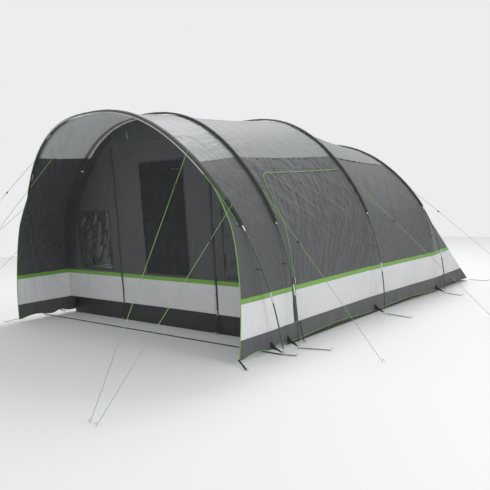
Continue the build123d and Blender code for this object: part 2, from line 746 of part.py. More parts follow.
cords, tensioners = {}, {}
for name, (a, b, u) in GUYS.items():
    va, vb = Vector(*a), Vector(*b)
    d = (vb - va).normalized()
    end = vb - d * 8
    with BuildPart() as cord:
        add(rod([a, tuple(end)], CORD_R))
    cord.part.label = name
    cords[name] = cord.part
    length = (end - va).length
    print(f"{name}: straight, no bends (radius infinite), length {length:.1f}, volume / (section x length) = {cord.part.volume / (pi * CORD_R**2 * length):.4f}")
    if name in JOIN:
        u = JOIN[name] + 30 / length
    c = va + (vb - va) * u
    side_dir = d.cross(Vector(0, 0, 1)).normalized()
    with BuildPart() as tens:
        with BuildSketch(Plane(origin=c, x_dir=side_dir, z_dir=d)):
            with Locations((4, 0)):
                RectangleRounded(22, 10, 4)
            Circle(TENSIONER_HOLE, mode=Mode.SUBTRACT)
            with Locations((10, 0)):
                Circle(2, mode=Mode.SUBTRACT)
        extrude(amount=24)
    tname = name.replace("guyline", "tensioner")
    tens.part.label = tname
    tensioners[tname] = tens.part
    print(f"{tname}: centre {tuple(round(v, 1) for v in c)}, slides along {tuple(round(v, 5) for v in d)}")
for name, (main, a) in BRANCH.items():
    j = Vector(*along(main, JOIN[main]))
    va = Vector(*a)
    d = (j - va).normalized()
    main_dir = (Vector(*GUYS[main][1]) - Vector(*GUYS[main][0])).normalized()
    end = j - d * (3.0 * CORD_R / d.cross(main_dir).length)
    with BuildPart() as cord:
        add(rod([a, tuple(end)], CORD_R))
    cord.part.label = name
    cords[name] = cord.part
    length = (end - va).length
    print(f"{name}: straight, no bends (radius infinite), length {length:.1f}, volume / (section x length) = {cord.part.volume / (pi * CORD_R**2 * length):.4f}")

with BuildPart() as guy_pegs:
    for name, (a, b, u) in GUYS.items():
        flat = hypot(b[0] - a[0], b[1] - a[1])
        ux, uy = (b[0] - a[0]) / flat, (b[1] - a[1]) / flat
        with Locations(Plane(origin=(b[0] + 3 * ux, b[1] + 3 * uy, 0), x_dir=(ux, uy, 0), z_dir=(0, 0, 1)).location):
            add(one_peg.part)
guy_pegs.part.label = "guy_pegs"

def wall_x(y, z):
    """Outer face of the middle bay's right wall at height z and depth y."""
    y1, y2 = HOOPS[1][1] + lean(1) * z, HOOPS[2][1] + lean(2) * z
    return lerp(cloth_x(1, z), cloth_x(2, z), (y - y1) / (y2 - y1))


zh = SIDE_TOP - DOOR_GAP / 2
print("SIDE_HINGE", (round(wall_x(SIDE_Y0T, zh), 2), SIDE_Y0T, zh), (round(wall_x(SIDE_Y1T, zh), 2), SIDE_Y1T, zh))
print("side door hinge: axis points", [(round(cloth_x(2, z), 1), z) for z in (190, 500, 700, 900, 1040, 1300, 1500)], [(round(cloth_x(1, z), 1), z) for z in (190, 500, 900, 1300, 1500)])
print("cloth_x hoop1", [(round(cloth_x(0, z), 1), z) for z in (30, 190, 500, 700, 1040, 1300, 1500)], "hoop4", [(round(cloth_x(3, z), 1), z) for z in (30, 190, 500, 700, 1040, 1300, 1500)])

# ---------------------------------------------------------------- export
for p in (
    hoop_pole_1, hoop_pole_2, hoop_pole_3, hoop_pole_4, pole_ferrules, foot_pins, sleeve_porch, sleeves_black, pole_clips,
    foot_gussets, roof_porch, roof_middle, roof_rear, wall_left, wall_right, rear_panel, belt, light_band, skirt,
    front_wall, clear_windows, groundsheet, sleeping_cabin, hoop_strap, peg_straps, pegs, guy_pegs, piping, zip_flaps,
    front_door, front_door_mesh, front_door_belt, front_door_band, front_zip_slider,
    side_door, side_door_belt, side_door_band, side_zip_slider,
):
    export_step(p.part, f"parts/{p.part.label}.step")
for name, solid in {**cords, **tensioners}.items():
    export_step(solid, f"parts/{name}.step")
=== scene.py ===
import bpy, bmesh, math, bisect
from math import sin, cos, pi, hypot
from mathutils import Vector, Matrix, noise


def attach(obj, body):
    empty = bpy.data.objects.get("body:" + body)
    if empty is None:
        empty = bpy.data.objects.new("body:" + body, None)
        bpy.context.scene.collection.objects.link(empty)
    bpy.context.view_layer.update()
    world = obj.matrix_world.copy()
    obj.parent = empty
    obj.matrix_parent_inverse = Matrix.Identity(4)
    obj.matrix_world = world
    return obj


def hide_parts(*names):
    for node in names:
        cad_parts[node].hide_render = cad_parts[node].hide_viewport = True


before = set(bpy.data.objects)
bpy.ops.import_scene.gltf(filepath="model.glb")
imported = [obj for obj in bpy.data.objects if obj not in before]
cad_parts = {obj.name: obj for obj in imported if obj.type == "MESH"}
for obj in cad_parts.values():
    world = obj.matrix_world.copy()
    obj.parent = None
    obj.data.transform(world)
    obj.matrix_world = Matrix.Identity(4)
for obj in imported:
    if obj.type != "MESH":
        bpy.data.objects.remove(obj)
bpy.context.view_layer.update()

# ------------------------------------------------------------------ camera
YAW, PITCH, ROLL = 0.7059047, -0.1352274, -0.0407986
fw, rt0, up = Vector((-sin(YAW), cos(YAW), 0)), Vector((cos(YAW), sin(YAW), 0)), Vector((0, 0, 1))
fwd = fw * cos(PITCH) + up * sin(PITCH)
u2 = -fw * sin(PITCH) + up * cos(PITCH)
r2 = rt0 * cos(ROLL) + u2 * sin(ROLL)
u3 = -rt0 * sin(ROLL) + u2 * cos(ROLL)
cam_data = bpy.data.cameras.new("camera")
cam = bpy.data.objects.new("camera", cam_data)
bpy.context.scene.collection.objects.link(cam)
m = Matrix((r2, u3, -fwd)).transposed().to_4x4()
m.translation = Vector((4.41183, -6.03421, 1.28472))
cam.matrix_world = m
cam_data.sensor_width = 36
cam_data.lens = 44.60
cam_data.shift_x, cam_data.shift_y = 0.02337, 0.06321
cam_data.clip_end = 60
cam_data.dof.use_dof = False
bpy.context.scene.camera = cam


# ------------------------------------------------------------------ materials
def shader(name, base, rough=0.75, weave=1400, weave_str=0.25, var=0.14, see=0.0, film=0.0, metal=0.0, coat=0.0, sheen=0.15, blotch=3.0, dark=None):
    mt = bpy.data.materials.new(name)
    mt.use_nodes = True
    nt = mt.node_tree
    nt.nodes.clear()
    N, L = nt.nodes.new, nt.links.new
    out, bs = N("ShaderNodeOutputMaterial"), N("ShaderNodeBsdfPrincipled")
    tc = N("ShaderNodeTexCoord")
    n1 = N("ShaderNodeTexNoise"); n1.inputs["Scale"].default_value = blotch; n1.inputs["Detail"].default_value = 5
    n2 = N("ShaderNodeTexNoise"); n2.inputs["Scale"].default_value = 90; n2.inputs["Detail"].default_value = 3
    L(tc.outputs["Object"], n1.inputs["Vector"]); L(tc.outputs["Object"], n2.inputs["Vector"])
    mx = N("ShaderNodeMath"); mx.operation = "MULTIPLY_ADD"
    mx.inputs[1].default_value = 0.6
    L(n1.outputs["Fac"], mx.inputs[0])
    m2 = N("ShaderNodeMath"); m2.operation = "MULTIPLY"; m2.inputs[1].default_value = 0.4
    L(n2.outputs["Fac"], m2.inputs[0]); L(m2.outputs[0], mx.inputs[2])
    ramp = N("ShaderNodeValToRGB")
    lo = [c * (1 - var) for c in base]; hi = [min(1, c * (1 + var)) for c in base]
    ramp.color_ramp.elements[0].position, ramp.color_ramp.elements[1].position = 0.3, 0.7
    ramp.color_ramp.elements[0].color = (*lo, 1); ramp.color_ramp.elements[1].color = (*hi, 1)
    L(mx.outputs[0], ramp.inputs["Fac"])
    L(ramp.outputs["Color"], bs.inputs["Base Color"])
    rr = N("ShaderNodeMapRange"); rr.inputs["To Min"].default_value = max(0.02, rough - 0.08); rr.inputs["To Max"].default_value = min(1, rough + 0.08)
    L(n1.outputs["Fac"], rr.inputs["Value"]); L(rr.outputs["Result"], bs.inputs["Roughness"])
    bs.inputs["Metallic"].default_value = metal
    bs.inputs["Sheen Weight"].default_value = sheen
    bs.inputs["Coat Weight"].default_value = coat
    w1 = N("ShaderNodeTexWave"); w1.wave_type = "BANDS"; w1.bands_direction = "Z"; w1.inputs["Scale"].default_value = weave
    w2 = N("ShaderNodeTexWave"); w2.wave_type = "BANDS"; w2.bands_direction = "DIAGONAL"; w2.inputs["Scale"].default_value = weave * 0.9
    L(tc.outputs["Object"], w1.inputs["Vector"]); L(tc.outputs["Object"], w2.inputs["Vector"])
    ad = N("ShaderNodeMath"); ad.operation = "ADD"
    L(w1.outputs["Fac"], ad.inputs[0]); L(w2.outputs["Fac"], ad.inputs[1])
    bp = N("ShaderNodeBump"); bp.inputs["Strength"].default_value = weave_str; bp.inputs["Distance"].default_value = 0.0004
    L(ad.outputs[0], bp.inputs["Height"])
    n3 = N("ShaderNodeTexNoise"); n3.inputs["Scale"].default_value = 14; n3.inputs["Detail"].default_value = 4
    L(tc.outputs["Object"], n3.inputs["Vector"])
    b2 = N("ShaderNodeBump"); b2.inputs["Strength"].default_value = 0.22; b2.inputs["Distance"].default_value = 0.012
    L(n3.outputs["Fac"], b2.inputs["Height"]); L(bp.outputs["Normal"], b2.inputs["Normal"]); L(b2.outputs["Normal"], bs.inputs["Normal"])
    last = bs.outputs[0]
    if see > 0:
        tr = N("ShaderNodeBsdfTranslucent"); mix = N("ShaderNodeMixShader"); mix.inputs[0].default_value = see
        L(ramp.outputs["Color"], tr.inputs["Color"]); L(b2.outputs["Normal"], tr.inputs["Normal"])
        L(last, mix.inputs[1]); L(tr.outputs[0], mix.inputs[2]); last = mix.outputs[0]
    if film > 0:
        tp = N("ShaderNodeBsdfTransparent"); mix = N("ShaderNodeMixShader"); mix.inputs[0].default_value = film
        L(last, mix.inputs[1]); L(tp.outputs[0], mix.inputs[2]); last = mix.outputs[0]
    L(last, out.inputs["Surface"])
    mt.diffuse_color = (*base, 1)
    return mt


M = {
    "wall": shader("wall_cloth", (0.062, 0.063, 0.065), 0.55, see=0.08, var=0.10),
    "roof": shader("roof_cloth", (0.35, 0.363, 0.364), 0.5, see=0.36, var=0.06),
    "green": shader("green_cloth", (0.16, 0.36, 0.055), 0.6, see=0.1, var=0.12),
    "light": shader("light_cloth", (0.66, 0.66, 0.67), 0.58, see=0.15, var=0.07),
    "skirt": shader("skirt_cloth", (0.078, 0.079, 0.081), 0.66, see=0.05, var=0.16),
    "tub": shader("groundsheet_cloth", (0.008, 0.0085, 0.0095), 0.36, weave=700, weave_str=0.5, var=0.25),
    "cabin": shader("cabin_cloth", (0.05, 0.05, 0.054), 0.8, see=0.15),
    "border": shader("border_cloth", (0.035, 0.036, 0.038), 0.7, var=0.12),
    "mesh": shader("insect_mesh", (0.02, 0.02, 0.022), 0.8, weave=2500, weave_str=0.8, film=0.30),
    "black": shader("black_webbing", (0.0065, 0.007, 0.0072), 0.6, weave=2200, weave_str=0.8, var=0.25, sheen=0.02),
    "porch": shader("porch_sleeve_cloth", (0.040, 0.044, 0.036), 0.6, weave=1800, weave_str=0.5, var=0.15, sheen=0.05),
    "thread": shader("green_thread", (0.09, 0.20, 0.05), 0.6, weave=3000, weave_str=0.9),
    "cord": shader("green_cord", (0.20, 0.39, 0.11), 0.65, weave=2600, weave_str=1.0, var=0.2),
    "pipe": shader("green_piping", (0.17, 0.38, 0.08), 0.5, weave=2000, weave_str=0.5),
    "flap": shader("flap_cloth", (0.014, 0.026, 0.018), 0.6, weave=1500, weave_str=0.5),
    "film": shader("clear_film", (0.10, 0.105, 0.11), 0.10, weave=20, weave_str=0.05, film=0.5, coat=0.7, sheen=0, var=0.3),
    "pole": shader("pole_fibreglass", (0.028, 0.075, 0.038), 0.3, weave=500, weave_str=0.05, coat=0.4, sheen=0),
    "steel": shader("plated_steel", (0.55, 0.55, 0.55), 0.32, metal=1.0, weave=800, weave_str=0.1, sheen=0),
    "plastic": shader("black_plastic", (0.015, 0.015, 0.016), 0.38, weave=900, weave_str=0.1, sheen=0),
    "pale": shader("pale_edge", (0.42, 0.43, 0.42), 0.6),
}

# ------------------------------------------------------------------ the same curves as the design, in metres
HOOPS = [(1.665, -2.233, -2.693, 2.023), (1.650, -2.000, -2.057, 2.050), (1.630, -0.409, -0.508, 2.089), (1.690, 1.036, 0.853, 1.855)]
ROOF_Z = [1.53, 1.58, 1.62, 1.55]
STAND = [(0, .122), (.03, .120), (.19, .108), (.46, .085), (.70, .062), (1.04, .012), (1.30, .014), (1.50, .018), (3.0, .018)]
LEAN = [(a - f) / h for w, f, a, h in HOOPS]
REAR_Y, REAR_X, REAR_TOP = 2.19, 1.56, 1.078


def lerp(a, b, u):
    return a + (b - a) * u


def arch(h, t):
    w, fy, ay, top = HOOPS[h]
    c, s = cos(t), max(sin(t), 0.0)
    g = 1 - 0.0414 * sin(2 * t) ** 2
    z = top * s ** (2 / 2.513) * g
    return Vector((w * (1 if c >= 0 else -1) * abs(c) ** (2 / 2.45) * g, fy + LEAN[h] * z, z))


TAB = []
for h in range(4):
    zz, tt = [], []
    for i in range(1500):
        t = pi / 2 * i / 1500
        z = arch(h, t).z
        if not zz or z > zz[-1] + 1e-7:
            zz.append(z); tt.append(t)
    TAB.append((zz, tt))


def t_at_z(h, z):
    zz, tt = TAB[h]
    i = min(max(bisect.bisect(zz, z), 1), len(zz) - 1)
    return lerp(tt[i - 1], tt[i], (z - zz[i - 1]) / (zz[i] - zz[i - 1]))


def stand(z):
    for (z0, d0), (z1, d1) in zip(STAND, STAND[1:]):
        if z <= z1:
            return lerp(d0, d1, (z - z0) / (z1 - z0))


def cloth_x(h, z):
    return arch(h, t_at_z(h, max(z, 0.002))).x - stand(z)


def under(h, t, d):
    a, b = arch(h, t + .001), arch(h, t - .001)
    dx, dz = a.x - b.x, a.z - b.z
    n = hypot(dx, dz)
    p = arch(h, t)
    x, z = p.x - d * dz / n, p.z + d * dx / n
    return Vector((x, HOOPS[h][1] + LEAN[h] * z, z))


RK = -(REAR_Y - (HOOPS[3][1] + LEAN[3] * REAR_TOP)) / REAR_TOP
RXT = arch(3, t_at_z(3, REAR_TOP)).x - .012


def station(i, z):
    if i == 0:
        q = z if z <= .5 else .5 + (z - .5) * .86 / 1.03
        return Vector((cloth_x(0, q), -2.642 + .06 * q, q))
    if i <= 4:
        return Vector((cloth_x(i - 1, z), HOOPS[i - 1][1] + LEAN[i - 1] * z, z))
    return Vector((lerp(REAR_X, RXT, z / REAR_TOP), REAR_Y + RK * z, z))


def nz(x, y, z=0.0):
    return noise.noise(Vector((x, y, z)))


def ridge(n, k=2.6):
    return max(0.0, 1 - abs(n) * k) ** 2


def creases(y, z, seed, ang, across=11.0, along=1.6):
    """Narrow ridges that run along one direction, with a wandering line."""
    c, s_ = cos(ang), sin(ang)
    a, b = y * c + z * s_, -y * s_ + z * c
    b += .05 * nz(a * 2.2, b * 2.2, seed)
    return ridge(nz(a * along + seed, b * across, seed * 1.7))


def fan(y, z, y0, z0, seed, k=9.0):
    """Ridges that spread from one anchor point."""
    r = hypot(y - y0, z - z0) + .02
    th = math.atan2(z - z0, y - y0)
    return ridge(nz(th * k + .4 * nz(y * 3, z * 3, seed), r * 1.1, seed)) * math.exp(-r / .55) * min(1, r / .06)


def hem_lift(U, z):
    """The hem rises a little between its pegs."""
    k = max(0.0, 1 - z / .185)
    f = U - int(U)
    amp = .028 if 0 < U < 5 else 0
    return amp * k * sin(pi * f) ** 2


def side(U, z, s=1, wr=1.0):
    i = min(int(U), 4)
    u = U - i
    p = station(i, z).lerp(station(i + 1, z), u)
    bay = (0.35, .35, 1.6, 1.4, 1.0)[i]
    bow = 4 * u * (1 - u)
    g = min(1.0, max(0, (z - .03) / .3))
    d = -.012 * bay * bow * g
    seed = 11.0 * s + 3
    d0 = d
    edge = min(u, 1 - u) * bay
    d += .0075 * bow ** .5 * nz(p.y * 1.1 + seed, z * 1.6, 1.0)
    # tension folds fan out from the hoops' clips and feet
    fan_ = nz(p.y * 2.2 + z * 3.4 * (1 if i % 2 else -1) + seed, z * 9 - p.y * 5, seed)
    d += .0060 * fan_ * min(1, edge / .05) * (0.45 + .55 * math.exp(-edge / .35))
    if z > .5:
        e2 = min(1, edge / .04) * min(1, (z - .5) / .06 + .25)
        d += .0050 * e2 * creases(p.y, z, seed, .55 if i % 2 else -.5, 8.0, 1.1)
        if i == 2:
            d += .0075 * e2 * creases(p.y, z, seed + 2, 1.05 - .25 * (p.y + 1.2), 13.0, 1.7)
            d += .0050 * e2 * creases(p.y, z, seed + 5, 1.35 + .2 * (z - 1), 17.0, 2.6)
            d -= .0040 * e2 * creases(p.y, z, seed + 8, .75, 9.0, 1.4)
    for h_ in range(4):
        y0 = HOOPS[h_][1] + LEAN[h_] * .7
        if abs(p.y - y0) < 1.3 and z > .2:
            d += .0042 * fan(p.y, z, y0, .72, seed + h_, 7.0) * min(1, edge / .03)
            d += .0038 * fan(p.y, z, y0 - .02, 1.05, seed + h_ + 4, 8.0) * min(1, edge / .03)
    if z < .46:
        d += .0028 * ridge(nz(p.y * 14 + seed, z * 1.6, 6.0)) * min(1, edge / .03)
    d += .0030 * nz(p.y * 3, z * 34, seed) * math.exp(-edge / .09) * min(1, edge / .012)
    for zs in (.46, .5, .185):
        d += .0012 * nz(p.y * 42, zs * 50, seed) * math.exp(-abs(z - zs) / .03)
    if z < .185:
        d += .014 * (1 - z / .185) * nz(p.y * 7 + seed, z * 4, 4.0)
    d = d0 + (d - d0) * wr
    slope = .25 if z < 1.0 else .7
    n = Vector((1, 0, slope)).normalized()
    p = p + n * d
    p.z += hem_lift(U, z)
    p.x *= s
    return p


def roof_pt(b, u, v):
    P = []
    for h in (b, b + 1):
        t0 = t_at_z(h, ROOF_Z[h])
        t = lerp(t0, pi - t0, v)
        q = under(h, t, .0135)
        k = min(1.0, min(v, 1 - v) / .03)
        c = Vector(((1 if v < .5 else -1) * cloth_x(h, ROOF_Z[h]), HOOPS[h][1] + LEAN[h] * ROOF_Z[h], ROOF_Z[h]))
        P.append(c.lerp(q, k))
    p = P[0].lerp(P[1], u)
    bay = (.45, 1.6, 1.4)[b]
    bow = 4 * u * (1 - u)
    edge = min(u, 1 - u) * bay
    n = Vector((cos(lerp(.6, pi - .6, v)), 0, sin(lerp(.6, pi - .6, v))))
    d = -.013 * bay * bow + .006 * bow ** .5 * nz(p.x * 1.2, p.y * 1.3, 7 + b)
    d += .0032 * nz(p.x * 26, p.y * 3, 3 + b) * math.exp(-edge / .10) * min(1, edge / .012)
    d += .004 * nz(p.x * 3 + p.y * 2, p.y * 6 - p.x * 2, 5) * min(1, edge / .05)
    sd = 1 if v < .5 else -1
    d += .0065 * creases(p.y, p.x * sd * 1.3, 13 + b, 1.25, 12.0, 1.5) * min(1, edge / .04) * (.35 + .65 * abs(2 * v - 1))
    d += .0050 * ridge(nz(p.x * 17 + .6 * nz(p.y * 5, p.x * 2, 1), p.y * 2.2, 31 + b)) * math.exp(-edge / .22) * min(1, edge / .02)
    return p + n * d


def rear_pt(s, z, top=None):
    """s runs from 0 at the right corner to 1 at the left; top is 0..1 from the belt up to the hoop."""
    t0 = t_at_z(3, REAR_TOP)
    if s in (0, 1):
        a = Vector(((1 if s == 0 else -1) * (RXT - .0016), HOOPS[3][1] + LEAN[3] * REAR_TOP, REAR_TOP))
    else:
        a = under(3, lerp(t0, pi - t0, s), .0135)
    g = Vector((lerp(REAR_X - .0016, -REAR_X + .0016, s), REAR_Y, 0))
    if top is not None:
        z = lerp(.5, a.z, top)
    u = (a.z - z) / a.z
    p = a.lerp(g, u)
    bow = 4 * u * (1 - u)
    d = -.012 * bow + .008 * bow * nz(p.x * 1.4, z * 1.5, 9) + .0035 * nz(p.x * 14, z * 2.5, 2) * min(1, u / .05)
    e = min(s, 1 - s)
    d += .006 * bow * ridge(nz(p.x * 7 + p.z * 2.4 * (1 if p.x > 0 else -1), p.z * 1.2, 41))
    d *= min(1, e / .03)
    return p + Vector((0, .75, .66)) * d


FRONT_Y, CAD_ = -1.950, LEAN[1]


def front(x, z, off=0.0):
    d = .006 * nz(x * 1.5, z * 1.4, 21) + .0032 * nz(x * 5 + z * 2, z * 3 - x * 2, 22)
    d += .0025 * nz(x * 16, z * 2, 23) * math.exp(-abs(z - .5) / .12)
    d += .0050 * creases(x, z, 25, 1.35, 9.0, 1.2) + .0035 * creases(x, z, 27, 1.0, 14.0, 2.0)
    if z < .46:
        d += .0035 * ridge(nz(x * 13, z * 1.5, 29))
    for xz in (-.58, .71):
        d += .0022 * nz(1.0, z * 22, xz * 9) * math.exp(-abs(x - xz) / .07)
    return Vector((x, FRONT_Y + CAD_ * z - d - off, z))


def edge_x(z):
    """Half width of the front wall at height z."""
    if z < ROOF_Z[1]:
        return cloth_x(1, z) - .004
    lo, hi = t_at_z(1, ROOF_Z[1]), pi / 2
    for _ in range(24):
        mid = (lo + hi) / 2
        if under(1, mid, .018).z < z:
            lo = mid
        else:
            hi = mid
    return under(1, lo, .018).x


def top_z(x):
    x = abs(x)
    lo, hi = t_at_z(1, 1.0), pi / 2
    for _ in range(24):
        mid = (lo + hi) / 2
        if under(1, mid, .018).x > x:
            lo = mid
        else:
            hi = mid
    return under(1, lo, .018).z


# ------------------------------------------------------------------ building helpers
def grid(fn, nu, nv):
    vs = [fn(i / nu, j / nv) for j in range(nv + 1) for i in range(nu + 1)]
    fs = [(j * (nu + 1) + i, j * (nu + 1) + i + 1, (j + 1) * (nu + 1) + i + 1, (j + 1) * (nu + 1) + i) for j in range(nv) for i in range(nu)]
    return vs, fs


def make(name, patches, mat, body="tent", nodes=(), smooth=True, weld=True):
    vs, fs = [], []
    for v, f in patches:
        o = len(vs)
        vs += [tuple(p) for p in v]
        fs += [tuple(i + o for i in q) for q in f]
    me = bpy.data.meshes.new(name)
    me.from_pydata(vs, [], fs)
    if weld:
        bm = bmesh.new(); bm.from_mesh(me)
        bmesh.ops.remove_doubles(bm, verts=bm.verts, dist=2e-5)
        bm.to_mesh(me); bm.free()
    me.materials.append(M[mat])
    for p in me.polygons:
        p.use_smooth = smooth
    ob = bpy.data.objects.new(name, me)
    bpy.context.scene.collection.objects.link(ob)
    if nodes:
        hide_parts(*nodes)
    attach(ob, body)
    return ob


def cloth(ob, width):
    a = sum(p.area for p in ob.data.polygons)
    SHEETS.append((ob.name, round(width, 3), round(a / width, 3)))


SHEETS = []


def tube(pts, r, n=8, closed=False):
    """A round tube through points."""
    vs, fs = [], []
    k = len(pts)
    prev = None
    for i, p in enumerate(pts):
        a, b = pts[max(i - 1, 0)], pts[min(i + 1, k - 1)]
        t = (Vector(b) - Vector(a)).normalized()
        x = (prev - t * prev.dot(t)) if prev is not None else t.orthogonal()
        x.normalize(); prev = x
        y = t.cross(x)
        for j in range(n):
            q = 2 * pi * j / n
            vs.append(Vector(p) + x * r * cos(q) + y * r * sin(q))
    for i in range(k - 1):
        for j in range(n):
            fs.append((i * n + j, i * n + (j + 1) % n, (i + 1) * n + (j + 1) % n, (i + 1) * n + j))
    fs.append(tuple(range(n))[::-1]); fs.append(tuple((k - 1) * n + j for j in range(n)))
    return vs, fs


def ribbon(pts, normals, w, t=.0012):
    """A flat tape along points; normals point out of its face."""
    vs, fs = [], []
    k = len(pts)
    for i, p in enumerate(pts):
        a, b = Vector(pts[max(i - 1, 0)]), Vector(pts[min(i + 1, k - 1)])
        n = Vector(normals[i] if isinstance(normals, list) else normals).normalized()
        x = (b - a).normalized().cross(n).normalized()
        for sx, sn in ((-1, 0), (-.8, 1), (.8, 1), (1, 0)):
            vs.append(Vector(p) + x * (w / 2 * sx) + n * (t * sn))
    for i in range(k - 1):
        for j in range(4):
            fs.append((i * 4 + j, i * 4 + (j + 1) % 4, (i + 1) * 4 + (j + 1) % 4, (i + 1) * 4 + j))
    fs.append((3, 2, 1, 0)); fs.append(tuple((k - 1) * 4 + j for j in range(4)))
    return vs, fs


# ------------------------------------------------------------------ guylines, first of all
def on_hoop(h, z, s, out=.019):
    t = t_at_z(h, z)
    p = arch(h, t)
    q = arch(h, t + .002) - p
    r = q.cross(Vector((0, -1, LEAN[h]))).normalized()
    if r.x < 0:
        r = -r
    p = p + r * out
    return Vector((s * p.x, p.y, p.z))


GUYS = {
    "guyline_porch_right_upper": (on_hoop(0, 1.621, 1), Vector((1.56, -4.02, .009))),
    "guyline_porch_right_lower": (on_hoop(0, 1.191, 1), Vector((1.64, -4.035, .009))),
    "guyline_porch_left_upper": (on_hoop(0, 1.681, -1), Vector((-2.06, -3.83, .009))),
    "guyline_porch_left_lower": (on_hoop(0, 1.239, -1), Vector((-2.14, -3.80, .009))),
    "guyline_porch_apex": (Vector((0, -2.727, 2.014)), Vector((-2.0, -3.48, .009))),
    "guyline_middle_left": (on_hoop(1, 1.292, -1), Vector((-2.66, -2.79, .009))),
    "guyline_front_right": (on_hoop(1, 1.292, 1), Vector((2.4, -2.02, .009))),
    "guyline_middle_right": (on_hoop(2, 1.384, 1), Vector((2.6, -.12, .009))),
    "guyline_rear_right": (on_hoop(3, 1.212, 1), Vector((2.4, 1.92, .009))),
}
BRANCH = {"guyline_front_right_branch": ("guyline_front_right", on_hoop(1, 1.166, 1)), "guyline_middle_right_branch": ("guyline_middle_right", on_hoop(2, 1.25, 1)),
          "guyline_middle_left_branch": ("guyline_middle_left", on_hoop(1, 1.166, -1))}
CORD_D = 0.0036


def cord(name, a, b, exit_=None):
    cu = bpy.data.curves.new(name, "CURVE")
    cu.dimensions = "3D"
    sp = cu.splines.new("NURBS")
    sp.points.add(2)
    for k, p in enumerate((a, a.lerp(b, .5), b)):
        sp.points[k].co = (*p, 1)
    sp.order_u = 3
    sp.use_endpoint_u = True
    cu.bevel_depth = CORD_D / 2
    cu.bevel_resolution = 3
    cu.use_fill_caps = True
    cu.materials.append(M["cord"])
    ob = bpy.data.objects.new(name + "_rope", cu)
    bpy.context.scene.collection.objects.link(ob)
    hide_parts(name)
    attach(ob, "tent")
    return ob


for name, (a, b) in GUYS.items():
    d = (b - a).normalized()
    cord(name, a, b - d * .008)
for name, (main, a) in BRANCH.items():
    ma, mb = GUYS[main]
    j = ma.lerp(mb, .30)
    d, md = (j - a).normalized(), (mb - ma).normalized()
    cord(name, a, j - d * (.0075 / d.cross(md).length))

# ------------------------------------------------------------------ side cloth
q = 1.0
NU = int(230 * q)


def label_top(U):
    i = min(int(U), 4)
    Z = [1.53] + ROOF_Z
    return lerp(Z[i], Z[i + 1], U - i) if i < 4 else 1.05


def u_at_y(y, z):
    """U in the middle bay for a given depth and height."""
    y1, y2 = HOOPS[1][1] + LEAN[1] * z, HOOPS[2][1] + LEAN[2] * z
    return 2 + (y - y1) / (y2 - y1)


def door_y(z):
    k = (z - .185) / 1.315
    return lerp(-1.850, -1.925, k), lerp(-.495, -.560, k)


def strip(z0, z1, s, U0=lambda z: 0.0, U1=lambda z: 5.0, nu=None, nv=4):
    def f(a, b):
        z = lerp(z0, z1, b)
        return side(lerp(U0(z), U1(z), a), z, s)
    return grid(f, nu or NU, nv)


def strip_top(z0, s, U0, U1, nu, nv, z1=None):
    """From height z0 up to the roof seam."""
    def f(a, b):
        zt = label_top(lerp(U0(1.5), U1(1.5), a)) if z1 is None else z1
        z = lerp(z0, zt, b)
        return side(lerp(U0(z), U1(z), a), z, s)
    return grid(f, nu, nv)


DU0 = lambda z: u_at_y(door_y(z)[0], z)
DU1 = lambda z: u_at_y(door_y(z)[1], z)
G = .0014
DP0 = lambda z: u_at_y(door_y(z)[0] + G, z)
DP1 = lambda z: u_at_y(door_y(z)[1] - G, z)
c0, c4 = (lambda z: 0.0), (lambda z: 4.0)
NV = int(90 * q)
for s, tag in ((-1, "left"), (1, "right")):
    gus = strip(.5, 1.05, s, lambda z: 4.0, lambda z: 5.0, int(40 * q), 26)
    if s < 0:
        wl = make("wall_left_cloth", [strip_top(.5, s, c0, c4, NU, NV), gus], "wall", nodes=("wall_left",))
    else:
        wl = make("wall_right_cloth", [strip_top(.5, s, c0, DU0, int(90 * q), NV), strip_top(.5, s, DU1, c4, int(90 * q), NV),
                  strip_top(1.5, s, DU0, DU1, int(90 * q), 6), gus], "wall", nodes=("wall_right",))
    cloth(wl, 1.08)
belts = []
for zone, z0, z1, mat, nv in (("belt", .46, .5, "green", 3), ("light_band", .185, .46, "light", 16), ("skirt", .03, .185, "skirt", 9)):
    P = {"left": [strip(z0, z1, -1, nv=nv)]}
    if zone == "skirt":
        P["left"] = [strip(z0, z1, -1, c0, c4, nv=nv)]
        P["right"] = [strip(z0, z1, 1, c0, c4, nv=nv)]
    else:
        P["right"] = [strip(z0, z1, 1, c0, DU0, int(120 * q), nv), strip(z0, z1, 1, DU1, lambda z: 5.0, int(140 * q), nv)]
    P["rear"] = [grid(lambda a, b, z0=z0, z1=z1: rear_pt(a, lerp(z0, z1, b)), int(100 * q), nv)]
    if zone != "skirt":
        P["front"] = [grid(lambda a, b, z0=z0, z1=z1: front(lerp(-edge_x(lerp(z0, z1, b)), -.58, a), lerp(z0, z1, b)), 40, nv),
                      grid(lambda a, b, z0=z0, z1=z1: front(lerp(.71, edge_x(lerp(z0, z1, b)), a), lerp(z0, z1, b)), 36, nv)]
    for k, (side_name, patches) in enumerate(P.items()):
        ob = make(f"{zone}_{side_name}_cloth", patches, mat, nodes=(zone,) if k == 0 else ())
        cloth(ob, z1 - z0)

ob = make("skirt_rear_corners", [strip(.03, .185, s, c4, lambda z: 5.0, 60, 9) for s in (1, -1)], "border")
cloth(ob, .155)
make("hem_piping", [tube([side(lerp(0, 4, i / 240), .032, s) + Vector((s * .001, 0, 0)) for i in range(241)], .0026, 6) for s in (1, -1)], "pipe")
